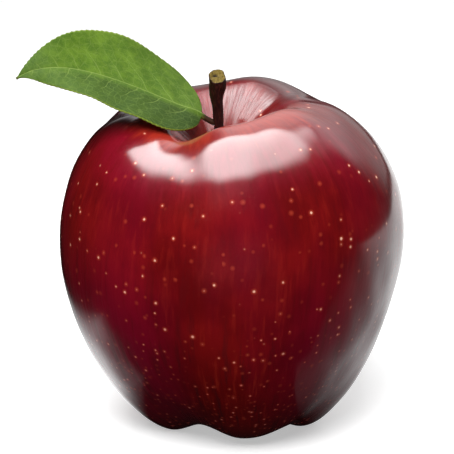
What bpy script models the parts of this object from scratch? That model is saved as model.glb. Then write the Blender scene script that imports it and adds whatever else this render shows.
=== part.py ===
"""A dessert apple as picked: the fruit, its stalk, one leaf, and the dried calyx in the hollow underneath.

Metres, +Z up. The shapes are worked out round the fruit's own axis, and an empty then carries every piece
so that the origin lies under the middle of the whole object, on the surface that the apple rests on.
Azimuths are counted from the front (-Y) towards +X.
"""

import math

import bmesh
import bpy
import numpy as np
from mathutils import Vector
from mathutils.bvhtree import BVHTree

# Fruit: one skin line from the pit at the top to the eye underneath, through four rings.
CREST_HEIGHT = 0.0753  # the shoulder's top ring, above the resting surface
CREST_RADIUS = 0.0175
WAIST_HEIGHT = 0.0461
WAIST_RADIUS = 0.0385
FOOT_RADIUS = 0.0155  # the ring of knuckles that the fruit stands on
FOOT_FLAT_DEPTH = 0.0004  # how far the knuckles are pressed flat
PIT_DEPTH = 0.0157  # crest down to the floor of the stalk's pit
EYE_HEIGHT = 0.0086  # resting surface up to the floor of the hollow underneath

# The rings aren't quite on one axis or level, because the fruit grew a little to one side.
PIT_SHIFT = -0.0028
CREST_SHIFT = -0.0028
FOOT_SHIFT = 0.0009
FLANK_SHIFT = 0.0010
EYE_SHIFT = 0.0007
CREST_RISE_RIGHT = 0.0015
CREST_RISE_BACK = 0.0002
WAIST_LEAN = 0.059

# How full the skin line is between two rings: lengths in the pit, and shares of the way elsewhere.
PIT_FLOOR_FULLNESS = 0.0020
PIT_LIP_FULLNESS = 0.0065
SHOULDER_FULLNESS = (0.485, 0.578)
FLANK_FULLNESS = (0.602, 0.236)
HOLLOW_FULLNESS = (0.40, 0.40)

# Five furrows run down the fruit between five lobes. Each row is (azimuth, depth at foot, depth at crest).
RELIEF = (
    (5.5, 0.44, 0.39),
    (48.5, 0.84, 0.19),
    (78.0, 0.07, 0.61),
    (118.0, 1.30, 1.05),
    (157.0, 0.00, 0.00),
    (197.0, 1.00, 0.55),
    (226.0, 0.00, 0.00),
    (253.5, 0.65, 0.85),
    (289.0, 0.00, 0.00),
    (329.0, 1.10, 1.45),
)
CREST_DIP = 0.0028
CREST_SPREAD = 0.00035
FLANK_DIP = 0.00054
FOOT_LIFT = 0.0033
FOOT_PULL = 0.0022

# Mesh of the fruit: rows of faces in the pit, on the shoulder, down the flank and in the hollow.
FRUIT_COLUMNS = 60
FRUIT_ROWS = (7, 9, 11, 8)

# Gap that is left wherever two pieces meet.
CLEARANCE = 0.0003

# Stalk: stands on the pit's floor and flares to an oblique cut end.
STALK_RISE = 0.0053  # crest up to the middle of the cut end
STALK_LEAN_LEFT = 0.0008
STALK_NECK_RADIUS = 0.00106
STALK_ROOT_RADIUS = 0.0016
STALK_KNOB_RADIUS = 0.00192
STALK_KNOB_LENGTH = 0.0050
STALK_ROOT_LENGTH = 0.0040
STALK_CUT_TILT = math.radians(31.0)  # the cut end looks up and to the front
STALK_SIDES = 14
STALK_STATIONS = 14

# Leaf: blade and petiole in one piece. The midrib's control points are in leaf lengths from its root.
LEAF_LENGTH = 0.0469
LEAF_ROOT_BELOW_CREST = 0.0041
LEAF_ROUTE = ((0.0, 0.0, 0.0), (-0.361, 0.0, 0.147), (-0.693, -0.171, 0.388), (-0.904, -0.213, 0.252))
LEAF_BACK_HALF_WIDTH = 0.0137
LEAF_FRONT_HALF_WIDTH = 0.0134
LEAF_BACK_TILT = (13.0, 47.6, 5.0)  # degrees: at the base, and how it grows with the way and its square
LEAF_FRONT_TILT = (16.3, -34.0, 59.9)
LEAF_BROADEST = 0.55
LEAF_ROUNDNESS = 0.79
LEAF_TIP_TAPER = (4.7, 0.45)
LEAF_THICKNESS = 0.0004
LEAF_OVER_SHOULDER = 0.0006  # the blade's least height over the skin
LEAF_LIFT_RUN = 0.0063
LEAF_LIFT_ROUNDS = 4
PETIOLE_LENGTH = 0.0021
PETIOLE_RADIUS = 0.00065
MIDRIB_TIP_RADIUS = 0.00025
LEAF_STATIONS = 30
LEAF_STRIPS = 10
TANGENT_STEP = 0.01  # share of the midrib either side of a station that gives its direction

# Calyx: five dried sepals round a tuft of styles, hanging from the hollow's floor.
SEPALS = 5
SEPAL_LENGTH = 0.0048
SEPAL_RING_RADIUS = 0.0030
SEPAL_WAIST_RADIUS = 0.0020
SEPAL_TIP_RADIUS = 0.0028
SEPAL_BASE_WIDTH = 0.0024
SEPAL_TIP_WIDTH = 0.0005
SEPAL_THICKNESS = 0.0004
SEPAL_TAPER = 0.7  # below 1, the sepal narrows soonest near its base
SEPAL_SECTION = ((-1.0, 0.0), (-0.6, 1.0), (0.6, 1.0), (1.0, 0.0), (0.6, -1.0), (-0.6, -1.0))
SEPAL_STATIONS = 7
TUFT_LENGTH = 0.0042
TUFT_RADIUS = 0.0008
TUFT_TIP_RADIUS = 0.0005
TUFT_SIDES = 10
TUFT_STATIONS = 3

UP = Vector((0.0, 0.0, 1.0))
FLAT_ANGLE = math.radians(25.0)
CUT_TOLERANCE = 1e-6
EYE_PROBES = 12


def clear_scene():
    """Removes the objects that a new file starts with."""
    for thing in list(bpy.data.objects):
        bpy.data.objects.remove(thing, do_unlink=True)


def make_material(name, colour, roughness, metallic=0.0):
    """A plain finish: one colour, one roughness."""
    material = bpy.data.materials.new(name)
    material.use_nodes = True
    shader = material.node_tree.nodes["Principled BSDF"]
    shader.inputs["Base Color"].default_value = (*colour, 1.0)
    shader.inputs["Roughness"].default_value = roughness
    shader.inputs["Metallic"].default_value = metallic
    return material


def add_piece(name, mesh_data, material, carrier):
    """Turns a bmesh into a named object that the carrier holds."""
    bmesh.ops.recalc_face_normals(mesh_data, faces=mesh_data.faces)
    mesh = bpy.data.meshes.new(name)
    mesh_data.to_mesh(mesh)
    mesh_data.free()
    mesh.materials.append(material)
    mesh.shade_smooth()
    mesh.set_sharp_from_angle(angle=FLAT_ANGLE)
    piece = bpy.data.objects.new(name, mesh)
    bpy.context.scene.collection.objects.link(piece)
    piece.parent = carrier
    return piece


def cubic(a, b, c, d, t):
    """A point on the cubic Bezier curve from a to d, pulled by b and c."""
    s = 1.0 - t
    return s**3 * a + 3 * s**2 * t * b + 3 * s * t**2 * c + t**3 * d


def relief_depth(azimuth, which):
    """Depth of the relief at an azimuth: half a cosine wave between each lobe and the furrow beside it."""
    starts = [row[0] for row in RELIEF]
    depths = [row[which] for row in RELIEF]
    starts.append(starts[0] + 360.0)
    depths.append(depths[0])
    degrees = (math.degrees(azimuth) - starts[0]) % 360.0 + starts[0]
    index = max(i for i in range(len(RELIEF)) if starts[i] <= degrees)
    share = (degrees - starts[index]) / (starts[index + 1] - starts[index])
    return depths[index] + (depths[index + 1] - depths[index]) * (1.0 - math.cos(math.pi * share)) / 2.0


def skin_line(azimuth):
    """The skin from the pit to the eye at one azimuth: four cubic curves, each running smoothly into the next."""
    at_foot = relief_depth(azimuth, 1)
    at_crest = relief_depth(azimuth, 2)
    out = np.array((math.sin(azimuth), -math.cos(azimuth), 0.0))

    def place(radius, height, shift):
        return out * radius + np.array((shift, 0.0, height))

    crest_z = CREST_HEIGHT - CREST_DIP * at_crest + CREST_RISE_RIGHT * out[0] + CREST_RISE_BACK * out[1]
    crest_r = CREST_RADIUS + CREST_SPREAD * at_crest
    waist_r = WAIST_RADIUS - FLANK_DIP * at_foot
    foot_z = FOOT_LIFT * at_foot - FOOT_FLAT_DEPTH
    foot_r = FOOT_RADIUS - FOOT_PULL * at_foot
    pit_z = CREST_HEIGHT - PIT_DEPTH
    rise = SHOULDER_FULLNESS[1] * (crest_z - WAIST_HEIGHT)
    fall = FLANK_FULLNESS[0] * (WAIST_HEIGHT - foot_z)
    pit = place(0.0, pit_z, PIT_SHIFT)
    pit_floor = place(PIT_FLOOR_FULLNESS, pit_z, PIT_SHIFT)
    pit_lip = place(crest_r - PIT_LIP_FULLNESS, crest_z, CREST_SHIFT)
    crest = place(crest_r, crest_z, CREST_SHIFT)
    shoulder_r = crest_r + SHOULDER_FULLNESS[0] * (waist_r - crest_r)
    shoulder = place(shoulder_r, crest_z, CREST_SHIFT * (1.0 - SHOULDER_FULLNESS[0]))
    upper_flank = place(waist_r, WAIST_HEIGHT + rise, WAIST_LEAN * rise)
    waist = place(waist_r, WAIST_HEIGHT, 0.0)
    lower_flank = place(waist_r, WAIST_HEIGHT - fall, -WAIST_LEAN * fall)
    knuckle_r = foot_r + FLANK_FULLNESS[1] * (waist_r - foot_r)
    knuckle = place(knuckle_r, foot_z, FOOT_SHIFT + FLANK_SHIFT)
    foot = place(foot_r, foot_z, FOOT_SHIFT)
    hollow_lip = place(foot_r * (1.0 - HOLLOW_FULLNESS[0]), foot_z, FOOT_SHIFT)
    eye_floor_edge = place(foot_r * HOLLOW_FULLNESS[1], EYE_HEIGHT, EYE_SHIFT)
    eye = place(0.0, EYE_HEIGHT, EYE_SHIFT)
    return (
        (pit, pit_floor, pit_lip, crest),
        (crest, shoulder, upper_flank, waist),
        (waist, lower_flank, knuckle, foot),
        (foot, hollow_lip, eye_floor_edge, eye),
    )


def skin_point(azimuth, row):
    """The place of the fruit's skin at an azimuth and a row of the mesh, counted from the pit's floor."""
    curves = skin_line(azimuth)
    for curve, rows in zip(curves, FRUIT_ROWS):
        if row <= rows:
            return cubic(*curve, row / rows)
        row -= rows
    return curves[-1][-1]


def shape_fruit():
    """The fruit: a ball whose points are carried to their places on the skin, then pressed flat underneath."""
    fruit = bmesh.new()
    rows = sum(FRUIT_ROWS)
    bmesh.ops.create_uvsphere(fruit, u_segments=FRUIT_COLUMNS, v_segments=rows, radius=1.0)
    for point in fruit.verts:
        polar = math.acos(max(-1.0, min(1.0, point.co.z)))
        azimuth = math.atan2(point.co.x, -point.co.y)
        point.co = skin_point(azimuth, round(polar / math.pi * rows))
    everything = fruit.verts[:] + fruit.edges[:] + fruit.faces[:]
    bmesh.ops.bisect_plane(
        fruit, geom=everything, dist=CUT_TOLERANCE, plane_co=(0, 0, 0), plane_no=-UP, clear_outer=True
    )
    rims = [edge for edge in fruit.edges if edge.is_boundary]
    bmesh.ops.edgeloop_fill(fruit, edges=rims)
    bmesh.ops.triangulate(fruit, faces=fruit.faces)
    return fruit


def skin_height(tree, x, y, underneath):
    """Height of the skin at a point: the pit and shoulders seen from above, or the hollow from underneath."""
    start = Vector((x, y, 0.0)) if underneath else Vector((x, y, 2.0 * CREST_HEIGHT))
    hit = tree.ray_cast(start, UP if underneath else -UP)[0]
    return hit.z if hit else None


def loft(rings):
    """A closed solid through rings of points, each with the same number, capped at both ends."""
    solid = bmesh.new()
    loops = [[solid.verts.new(point) for point in ring] for ring in rings]
    count = len(loops[0])
    for near, far in zip(loops, loops[1:]):
        for i in range(count):
            j = (i + 1) % count
            solid.faces.new((near[i], near[j], far[j], far[i]))
    solid.faces.new(loops[0])
    solid.faces.new(loops[-1])
    bmesh.ops.triangulate(solid, faces=solid.faces)
    return solid


def round_ring(centre, radius, sides, tilt=0.0):
    """A ring of points round a centre, in a plane that is tilted about X."""
    points = []
    for i in range(sides):
        angle = 2.0 * math.pi * i / sides
        x = radius * math.cos(angle)
        y = radius * math.sin(angle)
        points.append(centre + Vector((x, y, y * math.tan(tilt))))
    return points


def stalk_centre(height):
    """The middle of the stalk at a height: it leans left as it rises from the pit's floor."""
    floor = CREST_HEIGHT - PIT_DEPTH
    share = (height - floor) / (PIT_DEPTH + STALK_RISE)
    return Vector((PIT_SHIFT - STALK_LEAN_LEFT * (share - 0.5), 0.0, height))


def stalk_radius(height, bottom):
    """Radius of the stalk at a height: a slim neck between a flared root and the knob at the cut end."""
    top = CREST_HEIGHT + STALK_RISE
    at_root = math.exp(-(((height - bottom) / STALK_ROOT_LENGTH) ** 2))
    at_knob = math.exp(-(((top - height) / STALK_KNOB_LENGTH) ** 2))
    root = (STALK_ROOT_RADIUS - STALK_NECK_RADIUS) * at_root
    knob = (STALK_KNOB_RADIUS - STALK_NECK_RADIUS) * at_knob
    return STALK_NECK_RADIUS + root + knob


def shape_stalk(tree):
    """The stalk, from just above the pit's floor to its oblique cut end."""
    seat = round_ring(stalk_centre(CREST_HEIGHT - PIT_DEPTH), STALK_ROOT_RADIUS, STALK_SIDES)
    bottom = max(skin_height(tree, point.x, point.y, False) for point in seat) + CLEARANCE
    top = CREST_HEIGHT + STALK_RISE
    rings = []
    for station in range(STALK_STATIONS + 1):
        share = station / STALK_STATIONS
        height = bottom + (top - bottom) * share
        tilt = STALK_CUT_TILT * share**3
        rings.append(round_ring(stalk_centre(height), stalk_radius(height, bottom), STALK_SIDES, tilt))
    return loft(rings), bottom


def leaf_route(root):
    """The midrib's four control points, from the petiole's root at the stalk."""
    return [np.array(root) + LEAF_LENGTH * np.array(step) for step in LEAF_ROUTE]


def leaf_half_width(share, broadest):
    """Half the leaf's width: the petiole's radius, then the blade's rounded outline, down to a fine tip."""
    petiole = PETIOLE_LENGTH / LEAF_LENGTH
    along = min(max((share - petiole) / (1.0 - petiole), 0.0), 1.0)
    belly = max(math.sin(math.pi * along**LEAF_BROADEST), 0.0) ** LEAF_ROUNDNESS
    taper = (1.0 - along ** LEAF_TIP_TAPER[0]) ** LEAF_TIP_TAPER[1]
    stem = PETIOLE_RADIUS + (MIDRIB_TIP_RADIUS - PETIOLE_RADIUS) * share
    return max(broadest * belly * taper, stem)


def shape_leaf(root, tree):
    """The leaf: sections across the midrib, folded at it, thick along the rib and thin at the margin.

    The blade is raised from its root on where it would come nearer to the shoulder than its clearance.
    """
    route = leaf_route(root)
    lift = 0.0
    for _ in range(LEAF_LIFT_ROUNDS):
        lift += missing_gap(leaf_rings(route, lift), tree)
    return loft(leaf_rings(route, lift))


def missing_gap(rings, tree):
    """The largest height by which the blade is too near the skin below it."""
    missing = 0.0
    for station, ring in enumerate(rings):
        weight = leaf_lift_share(station / LEAF_STATIONS)
        for point in ring:
            skin = skin_height(tree, point[0], point[1], False)
            if skin is not None and weight > 0.0:
                missing = max(missing, (skin + LEAF_OVER_SHOULDER - point[2]) / weight)
    return missing


def leaf_lift_share(share):
    """How much of the lift a place along the midrib takes: none at the root, all of it past the run-up."""
    return min(share * LEAF_LENGTH / LEAF_LIFT_RUN, 1.0)


def leaf_tilt(share, across):
    """Angle at which the blade's back or front half rises from level: at the midrib, the mean of the two."""
    back, front = (math.radians(a + b * share + c * share**2) for a, b, c in (LEAF_BACK_TILT, LEAF_FRONT_TILT))
    if across == 0.0:
        return (back + front) / 2.0
    return back if across > 0.0 else front


def leaf_rings(route, lift):
    """The leaf's sections from the petiole's root to the tip, each a closed ring of points."""
    rings = []
    for station in range(LEAF_STATIONS + 1):
        share = station / LEAF_STATIONS
        middle = cubic(*route, share) + np.array((0.0, 0.0, lift * leaf_lift_share(share)))
        ahead = cubic(*route, min(share + TANGENT_STEP, 1.0))
        ahead -= cubic(*route, max(share - TANGENT_STEP, 0.0))
        ahead /= np.linalg.norm(ahead)
        back = np.array((0.0, 1.0, 0.0)) - ahead * ahead[1]
        back /= np.linalg.norm(back)
        over = np.cross(ahead, back)
        over *= math.copysign(1.0, over[2])
        rib = PETIOLE_RADIUS + (MIDRIB_TIP_RADIUS - PETIOLE_RADIUS) * share
        upper = []
        lower = []
        for strip in range(LEAF_STRIPS + 1):
            across = 2.0 * strip / LEAF_STRIPS - 1.0
            broadest = LEAF_BACK_HALF_WIDTH if across > 0.0 else LEAF_FRONT_HALF_WIDTH
            reach = across * leaf_half_width(share, broadest)
            tilt = leaf_tilt(share, across)
            half = LEAF_THICKNESS / 2.0
            half += (rib - half) * math.exp(-((reach / PETIOLE_RADIUS) ** 2))
            place = middle + reach * (math.cos(tilt) * back + math.sin(tilt) * over)
            normal = math.cos(tilt) * over - math.sin(tilt) * back
            upper.append(place + half * normal)
            lower.append(place - half * normal)
        rings.append(upper + lower[::-1])
    return rings


def shape_sepal(azimuth, hang):
    """One dried sepal: a tapering strip that hangs from the hollow's floor, pinched in, its tip turned out."""
    out = Vector((math.sin(azimuth), -math.cos(azimuth), 0.0))
    side = Vector((math.cos(azimuth), math.sin(azimuth), 0.0))
    axis = Vector((EYE_SHIFT, 0.0, 0.0))
    pull = 2.0 * SEPAL_WAIST_RADIUS - 0.5 * (SEPAL_RING_RADIUS + SEPAL_TIP_RADIUS)
    rings = []
    for station in range(SEPAL_STATIONS + 1):
        share = station / SEPAL_STATIONS
        radius = (1 - share) ** 2 * SEPAL_RING_RADIUS + share**2 * SEPAL_TIP_RADIUS
        radius += 2 * share * (1 - share) * pull
        width = SEPAL_BASE_WIDTH + (SEPAL_TIP_WIDTH - SEPAL_BASE_WIDTH) * share**SEPAL_TAPER
        middle = axis + out * radius + UP * (hang - SEPAL_LENGTH * share)
        ring = []
        for across, through in SEPAL_SECTION:
            ring.append(middle + side * (across * width / 2) + out * (through * SEPAL_THICKNESS / 2))
        rings.append(ring)
    return loft(rings)


def shape_tuft(hang):
    """The dried styles, close together: a slim tapering bundle that hangs in the middle of the sepals."""
    axis = Vector((EYE_SHIFT, 0.0, 0.0))
    rings = []
    for station in range(TUFT_STATIONS + 1):
        share = station / TUFT_STATIONS
        radius = TUFT_RADIUS + (TUFT_TIP_RADIUS - TUFT_RADIUS) * share
        rings.append(round_ring(axis + UP * (hang - TUFT_LENGTH * share), radius, TUFT_SIDES))
    return loft(rings)


def eye_floor(tree, reach):
    """Height of the hollow's floor round the eye: its lowest place at a reach from the middle."""
    heights = []
    for i in range(EYE_PROBES):
        angle = 2.0 * math.pi * i / EYE_PROBES
        heights.append(skin_height(tree, EYE_SHIFT + reach * math.cos(angle), reach * math.sin(angle), True))
    return min(heights)


def stand_on_origin(carrier, pieces):
    """Moves the carrier so that the origin is under the middle of the box round every piece."""
    corners = [Vector(corner) for piece in pieces for corner in piece.bound_box]
    low = [min(corner[i] for corner in corners) for i in range(2)]
    high = [max(corner[i] for corner in corners) for i in range(2)]
    carrier.location = (-(low[0] + high[0]) / 2.0, -(low[1] + high[1]) / 2.0, 0.0)


def build_apple():
    """Models every piece of the apple."""
    clear_scene()
    skin = make_material("skin", (0.145, 0.004, 0.007), 0.12)
    bark = make_material("bark", (0.045, 0.018, 0.010), 0.6)
    leaf_green = make_material("leaf_green", (0.13, 0.25, 0.04), 0.45)
    dried = make_material("dried_calyx", (0.10, 0.065, 0.035), 0.85)
    carrier = bpy.data.objects.new("apple", None)
    bpy.context.scene.collection.objects.link(carrier)

    fruit_mesh = shape_fruit()
    tree = BVHTree.FromBMesh(fruit_mesh)
    stalk_mesh, stalk_bottom = shape_stalk(tree)
    root_height = CREST_HEIGHT - LEAF_ROOT_BELOW_CREST
    root_overhang = PETIOLE_RADIUS * Vector(LEAF_ROUTE[1]).normalized().z
    beside = stalk_radius(root_height, stalk_bottom) + CLEARANCE + root_overhang
    leaf_root = stalk_centre(root_height) - Vector((beside, 0.0, 0.0))
    leaf_mesh = shape_leaf(leaf_root, tree)
    sepal_hang = eye_floor(tree, SEPAL_RING_RADIUS + SEPAL_THICKNESS) - CLEARANCE
    tuft_hang = eye_floor(tree, TUFT_RADIUS) - CLEARANCE

    pieces = [
        add_piece("fruit", fruit_mesh, skin, carrier),
        add_piece("stalk", stalk_mesh, bark, carrier),
        add_piece("leaf", leaf_mesh, leaf_green, carrier),
    ]
    for i in range(SEPALS):
        sepal_mesh = shape_sepal(2.0 * math.pi * i / SEPALS, sepal_hang)
        pieces.append(add_piece(f"sepal_{i + 1}", sepal_mesh, dried, carrier))
    pieces.append(add_piece("style_tuft", shape_tuft(tuft_hang), dried, carrier))
    stand_on_origin(carrier, pieces)


build_apple()
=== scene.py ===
"""A dark red dessert apple: the waxed fruit, its stalk, one leaf and the dried calyx underneath.

Metres, +Z up, the front of the fruit towards -Y. Shapes are worked out round the fruit's own axis and then
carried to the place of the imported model. Azimuths are counted from the front (-Y) towards +X.
"""

import logging
import math
from dataclasses import dataclass, field
from enum import Enum
from typing import Any, Optional, Sequence, Union

import bpy
import numpy as np
from mathutils import Matrix, Vector


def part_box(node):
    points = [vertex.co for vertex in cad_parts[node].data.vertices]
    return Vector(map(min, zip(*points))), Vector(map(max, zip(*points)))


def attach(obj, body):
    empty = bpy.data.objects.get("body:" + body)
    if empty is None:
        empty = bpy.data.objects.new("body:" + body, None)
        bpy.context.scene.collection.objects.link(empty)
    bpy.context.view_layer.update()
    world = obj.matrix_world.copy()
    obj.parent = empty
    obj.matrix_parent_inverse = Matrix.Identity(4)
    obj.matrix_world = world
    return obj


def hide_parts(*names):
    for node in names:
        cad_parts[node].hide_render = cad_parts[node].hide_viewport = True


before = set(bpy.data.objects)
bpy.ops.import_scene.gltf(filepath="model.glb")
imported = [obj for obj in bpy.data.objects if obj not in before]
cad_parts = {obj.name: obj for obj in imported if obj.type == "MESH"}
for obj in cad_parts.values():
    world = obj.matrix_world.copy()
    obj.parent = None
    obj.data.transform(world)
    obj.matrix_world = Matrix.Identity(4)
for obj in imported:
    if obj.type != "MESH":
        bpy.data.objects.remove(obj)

LOG = logging.getLogger("apple")
MILLIMETRES = 1000.0
BLACK = (0.0, 0.0, 0.0)
WHITE = (1.0, 1.0, 1.0)
Colour = tuple[float, float, float]
Stretch = tuple[float, float, float]
Range = tuple[float, float]
Array = np.ndarray


# ---------------------------------------------------------------- shader maths


class Signal:
    """One output socket of a node tree, which arithmetic turns into Math nodes."""

    def __init__(self, recipe: "Graph", socket: bpy.types.NodeSocket) -> None:
        """Wraps a socket.

        Args:
            recipe: the tree that the socket belongs to.
            socket: the output socket.
        """
        self.recipe = recipe
        self.socket = socket

    def __add__(self, other: "Number") -> "Signal":
        """This plus other."""
        return self.recipe.math("ADD", self, other)

    def __sub__(self, other: "Number") -> "Signal":
        """This minus other."""
        return self.recipe.math("SUBTRACT", self, other)

    def __mul__(self, other: "Number") -> "Signal":
        """This times other."""
        return self.recipe.math("MULTIPLY", self, other)

    def __truediv__(self, other: "Number") -> "Signal":
        """This over other."""
        return self.recipe.math("DIVIDE", self, other)

    def __radd__(self, other: float) -> "Signal":
        """Other plus this."""
        return self.recipe.math("ADD", other, self)

    def __rsub__(self, other: float) -> "Signal":
        """Other minus this."""
        return self.recipe.math("SUBTRACT", other, self)

    def __rmul__(self, other: float) -> "Signal":
        """Other times this."""
        return self.recipe.math("MULTIPLY", other, self)

    def __abs__(self) -> "Signal":
        """The size of this, without its sign."""
        return self.recipe.math("ABSOLUTE", self)


Number = Union[Signal, float]
Paint = Union[Signal, Colour]


class Graph:
    """A tree of nodes, and the few ways in which nodes are added to it."""

    def __init__(self, tree: bpy.types.NodeTree) -> None:
        """Starts from a tree that is there already.

        Args:
            tree: the node tree of a material or of the room.
        """
        self.tree = tree

    def node(
        self,
        kind: str,
        settings: Optional[dict[str, Any]] = None,
        sockets: Optional[dict[Union[str, int], Any]] = None,
        output: Union[str, int] = 0,
    ) -> Signal:
        """Adds any node.

        Args:
            kind: the node's type.
            settings: what is set on the node itself.
            sockets: the value or the signal of each input.
            output: the output that is wanted.

        Returns:
            The output as a signal.
        """
        made = self.tree.nodes.new(kind)
        for key, value in (settings or {}).items():
            setattr(made, key, value)
        for key, value in (sockets or {}).items():
            self.feed(made.inputs[key], value)
        return Signal(self, made.outputs[output])

    def feed(self, socket: bpy.types.NodeSocket, value: Any) -> None:
        """Links a signal to an input, or sets the input to a plain value.

        Args:
            socket: the input.
            value: a signal, a number, a colour or a vector.
        """
        if isinstance(value, Signal):
            self.tree.links.new(value.socket, socket)
        elif socket.type == "RGBA":
            socket.default_value = (*value[:3], 1.0)
        else:
            socket.default_value = value

    def math(self, operation: str, *values: Number) -> Signal:
        """One Math node on up to three numbers."""
        return self.node("ShaderNodeMath", {"operation": operation}, dict(enumerate(values)))

    def rise(self, value: Number, low: float, high: float) -> Signal:
        """An S-shaped step from 0 at low to 1 at high, or the other way round where low is the greater."""
        return self.node(
            "ShaderNodeMapRange",
            {"interpolation_type": "SMOOTHSTEP"},
            {"Value": value, "From Min": low, "From Max": high},
        )

    def blend(self, factor: Number, first: Paint, second: Paint) -> Signal:
        """A mix of two colours.

        Args:
            factor: 0 for the first colour, 1 for the second.
            first: the colour underneath.
            second: the colour laid on it.

        Returns:
            The mixed colour.
        """
        return self.node("ShaderNodeMix", {"data_type": "RGBA"}, {0: factor, 6: first, 7: second}, 2)

    def noise(self, place: Signal, scale: float, detail: float = 2.0, roughness: float = 0.5) -> Signal:
        """Soft noise from 0 to 1 at a place.

        Args:
            place: the coordinates.
            scale: how many blobs there are to one unit of them.
            detail: how many finer layers are added.
            roughness: how strong the finer layers are.

        Returns:
            The noise's value.
        """
        return self.node(
            "ShaderNodeTexNoise",
            {},
            {"Vector": place, "Scale": scale, "Detail": detail, "Roughness": roughness},
        )

    def cells(self, place: Signal, scale: float, feature: str = "F1", output: str = "Distance") -> Signal:
        """A field of scattered cells.

        Args:
            place: the coordinates.
            scale: how many cells there are to one unit of them.
            feature: what is measured in each cell.
            output: "Distance" from its middle, or the cell's own random "Color".

        Returns:
            The measure.
        """
        return self.node(
            "ShaderNodeTexVoronoi", {"feature": feature}, {"Vector": place, "Scale": scale}, output
        )

    def place(self, scale: Sequence[float] = (1.0, 1.0, 1.0)) -> Signal:
        """The place on the object in millimetres, stretched by a scale along each axis."""
        spot = self.node("ShaderNodeTexCoord", output="Object")
        return self.stretch(spot, [MILLIMETRES * share for share in scale])

    def stretch(self, vector: Signal, scale: Sequence[float]) -> Signal:
        """A vector with each of its parts multiplied."""
        return self.node("ShaderNodeVectorMath", {"operation": "MULTIPLY"}, {0: vector, 1: tuple(scale)})

    def attribute(self, name: str, output: str = "Fac") -> Signal:
        """A value, or a "Vector", that the mesh keeps for each point."""
        return self.node("ShaderNodeAttribute", {"attribute_name": name}, output=output)

    def parts(self, vector: Signal) -> tuple[Signal, Signal, Signal]:
        """The three parts of a vector."""
        first = self.node("ShaderNodeSeparateXYZ", {}, {0: vector})
        outputs = first.socket.node.outputs
        return first, Signal(self, outputs[1]), Signal(self, outputs[2])

    def join(self, x: Number, y: Number, z: Number) -> Signal:
        """A vector from its three parts."""
        return self.node("ShaderNodeCombineXYZ", {}, {0: x, 1: y, 2: z})

    def relief(self, height: Signal, depth: float, under: Optional[Signal] = None) -> Signal:
        """A normal that shows a relief.

        Args:
            height: the relief from 0 to 1.
            depth: how high 1 stands, in metres.
            under: the normal of a coarser relief that it lies on.

        Returns:
            The normal.
        """
        sockets: dict[Union[str, int], Any] = {"Height": height, "Distance": depth, "Strength": 1.0}
        if under is not None:
            sockets["Normal"] = under
        return self.node("ShaderNodeBump", {}, sockets)


class Recipe(Graph):
    """One material: a tree of nodes round its Principled shader."""

    def __init__(self, name: str) -> None:
        """Starts a material that has only its shader.

        Args:
            name: the material's name.
        """
        self.material = bpy.data.materials.new(name)
        self.material.use_nodes = True
        super().__init__(self.material.node_tree)

    def finish(self, **sockets: Any) -> bpy.types.Material:
        """Sets the shader's inputs, named with underscores for spaces.

        Args:
            sockets: the value or signal of each input.

        Returns:
            The finished material.
        """
        shader = self.tree.nodes["Principled BSDF"]
        for key, value in sockets.items():
            self.feed(shader.inputs[key.replace("_", " ")], value)
        return self.material


# ---------------------------------------------------------------- mesh maths


def cubic(a: Array, b: Array, c: Array, d: Array, share: Array) -> Array:
    """Points on the cubic Bezier curve from a to d: each control point times its share of the binomial sum.

    Args:
        a: start of the curve.
        b: point that pulls the curve's start.
        c: point that pulls the curve's end.
        d: end of the curve.
        share: the way along it from 0 to 1, shaped so that it multiplies the points.

    Returns:
        The points.
    """
    left = 1.0 - share
    return left**3 * a + 3 * left**2 * share * b + 3 * left * share**2 * c + share**3 * d


def ripples(places: Array, length: float, seed: int, waves: int = 14) -> Array:
    """Smooth random relief: sine waves in random directions, summed, over the root of half their number.

    Args:
        places: points, with their three coordinates last.
        length: mean length of the waves, in metres.
        seed: start of the random numbers.
        waves: how many waves are summed.

    Returns:
        One value for each point, mostly between -2 and 2.
    """
    draw = np.random.default_rng(seed)
    ways = draw.normal(size=(waves, 3))
    ways /= np.linalg.norm(ways, axis=1, keepdims=True)
    ways *= (2.0 * math.pi / length * draw.uniform(0.7, 1.5, waves))[:, None]
    total = np.sin(places @ ways.T + draw.uniform(0.0, 2.0 * math.pi, waves))
    return total.sum(-1) / math.sqrt(waves / 2.0)


@dataclass(frozen=True)
class Ripple:
    """One layer of smooth random relief: the mean length of its waves, its height and its random start."""

    length: float
    height: float
    seed: int

    def at(self, places: Array) -> Array:
        """Height of the relief at each point, in metres."""
        return ripples(places, self.length, self.seed) * self.height


def step(value: Array, low: float, high: float) -> Array:
    """An S-shaped step: 0 below low, 1 above high, and three squares less two cubes of the way between."""
    way = np.clip((value - low) / (high - low), 0.0, 1.0)
    return way * way * (3.0 - 2.0 * way)


def bell(value: Array, middle: float, width: float) -> Array:
    """A bell: e to the power of minus the square of the distance from the middle over the width."""
    return np.exp(-(((value - middle) / width) ** 2))


def unit(vectors: Array) -> Array:
    """Vectors of length one, each divided by its own length."""
    return vectors / np.maximum(np.linalg.norm(vectors, axis=-1, keepdims=True), 1e-12)


def outward(grid: Array, wrap: bool = True) -> Array:
    """Normals of a grid: the cross product of the steps down the rows and across the columns.

    Args:
        grid: points in rows and columns.
        wrap: whether the last column meets the first.

    Returns:
        A vector of length one for each point.
    """
    down = np.gradient(grid, axis=0)
    if wrap:
        across = np.roll(grid, -1, 1) - np.roll(grid, 1, 1)
    else:
        across = np.gradient(grid, axis=1)
    return unit(np.cross(down, across))


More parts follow.
